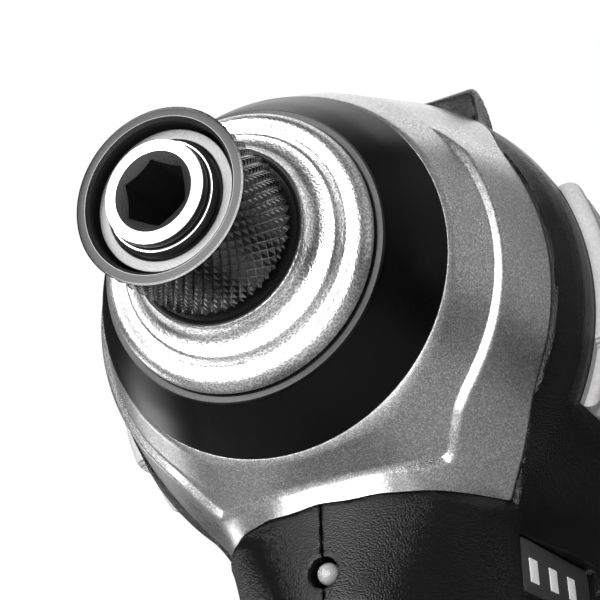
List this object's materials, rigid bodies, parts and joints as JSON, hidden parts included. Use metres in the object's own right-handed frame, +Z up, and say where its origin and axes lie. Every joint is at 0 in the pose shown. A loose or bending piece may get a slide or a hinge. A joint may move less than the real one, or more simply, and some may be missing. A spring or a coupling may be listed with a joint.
{
  "type": "impact driver",
  "caption": "Battery impact driver with a quick-change hexagon chuck, planetary reduction, hammer and anvil, pistol grip with trigger, and a slide-on battery.",
  "frame": {"origin": "middle of the battery's flat base, on the tool's plane of symmetry", "axes": "+X to the tool's left, +Y from the nose to the back, +Z up, with the spindle along Y"},
  "size_m": [0.0684, 0.143, 0.208],
  "materials": {
    "tool_steel": "ground and hardened",
    "bright_steel": "polished",
    "spring_steel": "drawn",
    "blackened_steel": "knurled and blackened",
    "bronze": "sintered",
    "blasted_alloy": "bead blasted",
    "black_rubber": "satin",
    "silver_paint": "metal flake paint",
    "forged_steel": "forged",
    "inner_plastic": "moulded",
    "copper": "drawn copper",
    "magnet": "sintered",
    "lead_skin": "smooth",
    "black_nylon": "fine pebble grain",
    "grey_plastic": "fine grain",
    "dark_plastic": "fine grain",
    "board": "lacquered",
    "clear_lens": "clear",
    "light_bars": "translucent white",
    "brass_insert": "turned",
    "cell_wrap": "heat-shrunk film"
  },
  "bodies": {
    "housing": {"hammer_case": "blasted_alloy", "front_bush": "bronze", "bumper_ring": "black_rubber", "front_cover": "silver_paint", "ring_gear": "tool_steel", "carrier_bearing": "bright_steel", "gearbox_plate": "inner_plastic", "motor_can": "spring_steel", "field_magnets": "magnet", "motor_bearings": "bright_steel", "motor_end_cap": "inner_plastic", "carbon_brushes": "magnet", "power_leads": "lead_skin", "housing_left": "black_nylon", "housing_right": "black_nylon", "rear_cap": "black_nylon", "side_panel_left": "grey_plastic", "side_panel_right": "grey_plastic", "switch_body": "inner_plastic", "trigger_spring": "spring_steel", "control_board": "board", "work_light": "clear_lens", "gauge_window": "dark_plastic", "gauge_bars": "light_bars", "grip_pad": "black_rubber", "housing_screws": "spring_steel", "rear_cap_screws": "spring_steel", "clip_inserts": "brass_insert", "terminal_block": "inner_plastic", "terminal_blades": "brass_insert"},
    "rotor": {"pinion": "tool_steel", "armature_shaft": "bright_steel", "armature_core": "forged_steel", "armature_windings": "copper", "commutator": "copper", "cooling_fan": "inner_plastic"},
    "carrier": {"cam_shaft": "tool_steel", "cam_balls": "bright_steel", "planet_pins": "bright_steel", "carrier_plate": "tool_steel", "hammer_spring": "spring_steel"},
    "planet_1": {"planet_gear_1": "tool_steel"},
    "planet_2": {"planet_gear_2": "tool_steel"},
    "planet_3": {"planet_gear_3": "tool_steel"},
    "hammer": {"hammer": "forged_steel"},
    "anvil": {"anvil": "tool_steel", "locking_balls": "bright_steel", "snap_ring": "spring_steel", "sleeve_washer": "spring_steel", "sleeve_spring": "spring_steel"},
    "sleeve": {"sleeve": "blackened_steel"},
    "trigger": {"trigger": "black_nylon"},
    "direction_slider": {"direction_slider": "dark_plastic"},
    "battery": {"battery_base": "black_nylon", "battery_lid": "black_nylon", "battery_cells": "cell_wrap", "battery_contacts": "brass_insert", "battery_screws": "spring_steel", "latch_spring": "spring_steel"},
    "latch": {"battery_latch": "dark_plastic"}
  },
  "joints": [
    {"name": "motor_spin", "type": "hinge", "parent": "housing", "child": "rotor", "pos_m": [0, 0, 0.176], "axis": [0, 1, 0], "continuous": true},
    {"name": "carrier_spin", "type": "hinge", "parent": "housing", "child": "carrier", "pos_m": [0, 0, 0.176], "axis": [0, 1, 0], "continuous": true},
    {"name": "planet_1_spin", "type": "hinge", "parent": "carrier", "child": "planet_1", "pos_m": [0.0099, 0, 0.176], "axis": [0, 1, 0], "continuous": true},
    {"name": "planet_2_spin", "type": "hinge", "parent": "carrier", "child": "planet_2", "pos_m": [-0.00495, 0, 0.16743], "axis": [0, 1, 0], "continuous": true},
    {"name": "planet_3_spin", "type": "hinge", "parent": "carrier", "child": "planet_3", "pos_m": [-0.00495, 0, 0.18457], "axis": [0, 1, 0], "continuous": true},
    {"name": "anvil_spin", "type": "hinge", "parent": "housing", "child": "anvil", "pos_m": [0, 0, 0.176], "axis": [0, 1, 0], "continuous": true},
    {"name": "hammer_slide", "type": "slide", "parent": "carrier", "child": "hammer", "axis": [0, 1, 0], "range_m": [0, 0.0062], "stiffness_N_per_m": 6000, "springref_m": -0.003, "deforming": ["hammer_spring"]},
    {"name": "sleeve_slide", "type": "slide", "parent": "anvil", "child": "sleeve", "axis": [0, -1, 0], "range_m": [0, 0.0035], "stiffness_N_per_m": 1500, "springref_m": -0.001, "deforming": ["sleeve_spring"]},
    {"name": "trigger_pull", "type": "slide", "parent": "housing", "child": "trigger", "axis": [0, 1, 0], "range_m": [0, 0.005], "stiffness_N_per_m": 800, "springref_m": -0.002, "deforming": ["trigger_spring"]},
    {"name": "direction_slide", "type": "slide", "parent": "housing", "child": "direction_slider", "axis": [1, 0, 0], "range_m": [-0.0025, 0.0025]},
    {"name": "battery_slide", "type": "slide", "parent": "housing", "child": "battery", "axis": [0, -1, 0], "range_m": [0, 0.072]},
    {"name": "latch_press", "type": "slide", "parent": "battery", "child": "latch", "axis": [0, 0, -1], "range_m": [0, 0.003], "stiffness_N_per_m": 600, "springref_m": -0.002, "deforming": ["latch_spring"]}
  ],
  "couplings": [
    {"joint": "carrier_spin", "follows": "motor_spin", "ratio": 0.125},
    {"joint": "anvil_spin", "follows": "motor_spin", "ratio": 0.125},
    {"joint": "planet_1_spin", "follows": "motor_spin", "ratio": -0.29167},
    {"joint": "planet_2_spin", "follows": "motor_spin", "ratio": -0.29167},
    {"joint": "planet_3_spin", "follows": "motor_spin", "ratio": -0.29167}
  ]
}
